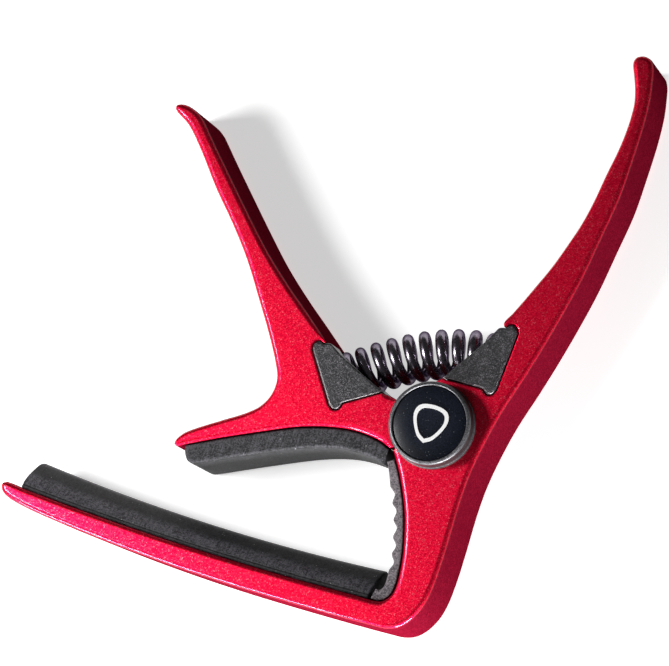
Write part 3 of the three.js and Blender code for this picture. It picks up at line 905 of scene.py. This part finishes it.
def spring_centreline(steps=400):
    """Points and running length along the bent centreline, in millimetres from the pivot."""
    a, b, c, d = SPRING_LINE
    points = []
    for t in np.linspace(0, 1, steps):
        u = 1 - t
        points.append(u ** 3 * a + 3 * u * u * t * b + 3 * u * t * t * c + t ** 3 * d)
    points = np.array([tuple(p) for p in points])
    lengths = np.concatenate([[0], np.cumsum(np.linalg.norm(np.diff(points, axis=0), axis=1))])
    return points, lengths


def spring_path():
    """The wire's centre: closed turns at both ends and open ones between, round the bent line."""
    points, lengths = spring_centreline()

    def on_line(reach):
        return np.array([np.interp(reach, lengths, points[:, k]) for k in (0, 1)])

    used = lengths[-1] - 2 * WIRE_RADIUS
    open_pitch = (used - 2 * CLOSED_TURNS * CLOSED_PITCH) / (TURNS - 2 * CLOSED_TURNS)
    nearby = 0.05
    path = []
    for turns in np.linspace(0, TURNS, int(TURNS * STEPS_PER_TURN) + 1):
        first = min(turns, CLOSED_TURNS)
        last = max(turns - (TURNS - CLOSED_TURNS), 0)
        reach = WIRE_RADIUS + (first + last) * CLOSED_PITCH + (turns - first - last) * open_pitch
        x, y = on_line(reach)
        ahead = on_line(reach + nearby) - on_line(reach - nearby)
        ahead /= np.linalg.norm(ahead)
        angle = 2 * math.pi * (turns - FIRST_CREST)
        outward = COIL_RADIUS * math.cos(angle)
        path.append(((x - ahead[1] * outward) * MM + PIVOT.x, (y + ahead[0] * outward) * MM + PIVOT.y,
                     MIDDLE + COIL_RADIUS * math.sin(angle) * MM))
    return path


def make_spring():
    piece = swept_wire("coil_spring", spring_path(), WIRE_RADIUS * MM, WIRE_SIDES)
    shade(piece, degrees=40)
    painted(piece, polished_steel("spring_steel"))
    start = AXIS + SPRING_LINE[0] * MM
    end = AXIS + SPRING_LINE[3] * MM
    past = BLEND_PAST * (end - start)
    start, end = start - past, end + past
    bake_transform(piece)
    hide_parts("spring")


def swept_wire(name, path, radius, sides):
    """A round wire along a path, with slightly rounded cut ends."""
    p = np.array(path)
    tangents = np.gradient(p, axis=0)
    tangents /= np.linalg.norm(tangents, axis=1)[:, None]
    side = np.cross(tangents[0], (0, 0, 1.0))
    side /= np.linalg.norm(side)
    edge = WIRE_END_ROUND * radius
    end_share = 1 - WIRE_END_ROUND
    rings = [(0, -edge, end_share)] + [(i, 0, 1) for i in range(len(p))] + [(len(p) - 1, edge, end_share)]
    vertices = []
    for i, push, share in rings:
        side = side - tangents[i] * side.dot(tangents[i])
        side /= np.linalg.norm(side)
        other = np.cross(tangents[i], side)
        centre = p[i] + tangents[i] * push
        for k in range(sides):
            angle = 2 * math.pi * k / sides
            vertices.append(centre + radius * share * (math.cos(angle) * side + math.sin(angle) * other))
    faces = end_faces(len(vertices), sides) + faces_between(len(rings), sides)
    return mesh_from(name, vertices, faces, same_place=1e-7)


# ---- cap -----------------------------------------------------------------------------

def make_cap_ring():
    """A shallow cup with a step round its foot, a rounded crest and a bevel inside it."""
    low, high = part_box("cap_ring")
    foot = FRONT + CAP_LIFT
    crest = high.z
    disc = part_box("cap_disc")[0].z
    floor_top = disc - CAP_FLOOR_TOP
    floor_bottom = disc - CAP_FLOOR_BOTTOM
    profile = [
        (0, low.z), (CAP_PLUG, low.z), (CAP_PLUG, floor_bottom), (CAP_INSIDE, floor_bottom),
        (CAP_INSIDE, foot), (CAP_FOOT, foot), (CAP_STEP, foot + 0.08 * MM),
        (CAP_STEP, foot + 0.42 * MM), (CAP_STEP - 0.05 * MM, foot + 0.52 * MM),
        (CAP_STEP - 0.15 * MM, foot + 0.58 * MM), (CAP_SIDE + 0.01 * MM, foot + 0.66 * MM),
        (CAP_SIDE, crest - CAP_ROUND - 0.2 * MM),
    ]
    for angle in np.linspace(0, math.pi / 2, 8):
        profile.append((CAP_SIDE - CAP_ROUND * (1 - math.cos(angle)),
                        crest - CAP_ROUND * (1 - math.sin(angle))))
    profile += [
        (CAP_INSIDE + 0.06 * MM, crest - 0.05 * MM), (CAP_INSIDE, crest - 0.14 * MM),
        (CAP_INSIDE, floor_top), (0, floor_top),
    ]
    piece = turned("cap_ring_shell", profile)
    shade(piece, degrees=30)
    painted(piece, cap_metal("cap_ring_metal"))
    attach(piece, "body")
    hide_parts("cap_ring")


def make_cap_disc():
    """A flat disc with a fine bevel."""
    low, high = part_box("cap_disc")
    radius = high.x - PIVOT.x
    profile = [
        (0, low.z), (radius, low.z), (radius, high.z - 0.1 * MM),
        (radius - 0.04 * MM, high.z - 0.03 * MM), (radius - 0.12 * MM, high.z),
        (0.5 * radius, high.z), (0, high.z),
    ]
    piece = turned("cap_inlay", profile)
    shade(piece, degrees=30)
    painted(piece, cap_gloss("cap_disc_gloss"))
    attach(piece, "body")
    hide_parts("cap_disc")


# ---- carried-over CAD nodes ----------------------------------------------------------

def dress_nodes():
    steel = (0.5, 0.51, 0.53)
    bronze = (0.45, 0.26, 0.1)
    for node in ("pivot_screw", "pivot_nut", "back_washer", "front_washer"):
        plating = node.removeprefix("pivot_") + "_plating"
        painted(frame["nodes"][node], plain_metal(plating, steel))
    painted(frame["nodes"]["pivot_bush"], plain_metal("bush_bronze", bronze))
    painted(frame["nodes"]["cap_emblem"], emblem_print("cap_emblem_silver"))


make_camera()
make_floor()
make_lights()
make_body()
make_lever()
make_seat("left_spring_seat", "lever_spring_seat", "lever_seat_plastic",
          LEFT_SEAT, LEFT_SEAT_FACING, 1, "lever")
make_seat("right_spring_seat", "body_spring_seat", "body_seat_plastic",
          RIGHT_SEAT, RIGHT_SEAT_FACING, -1, "body")
make_spring()
make_string_pad()
make_neck_pad()
make_web_liner()
make_cap_ring()
make_cap_disc()
dress_nodes()
